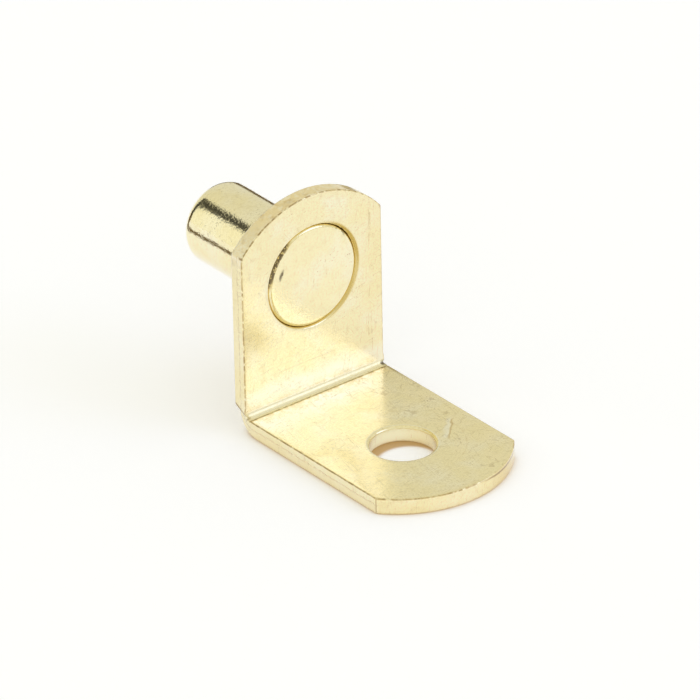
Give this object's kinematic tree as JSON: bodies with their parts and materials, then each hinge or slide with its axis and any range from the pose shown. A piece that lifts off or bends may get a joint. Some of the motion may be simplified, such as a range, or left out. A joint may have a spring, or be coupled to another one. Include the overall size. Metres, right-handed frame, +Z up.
{
  "type": "angle shelf support",
  "caption": "Bent brass strip with a round plug-in pin in its upright leg and a screw hole in its foot, carrying a shelf from a drilled cabinet side.",
  "frame": {"origin": "where the pin's axis leaves the back face of the upright leg", "axes": "+Y along the pin towards its free end, +Z up the upright, X across the strip; the foot runs towards -Y"},
  "size_m": [0.0128, 0.0293, 0.0173],
  "materials": {
    "angle_plate": "bright plated brass, lightly scuffed",
    "shelf_pin": "bright plated brass, lightly scuffed"
  },
  "bodies": {
    "root": {"angle_plate": "angle_plate", "shelf_pin": "shelf_pin"}
  },
  "joints": []
}
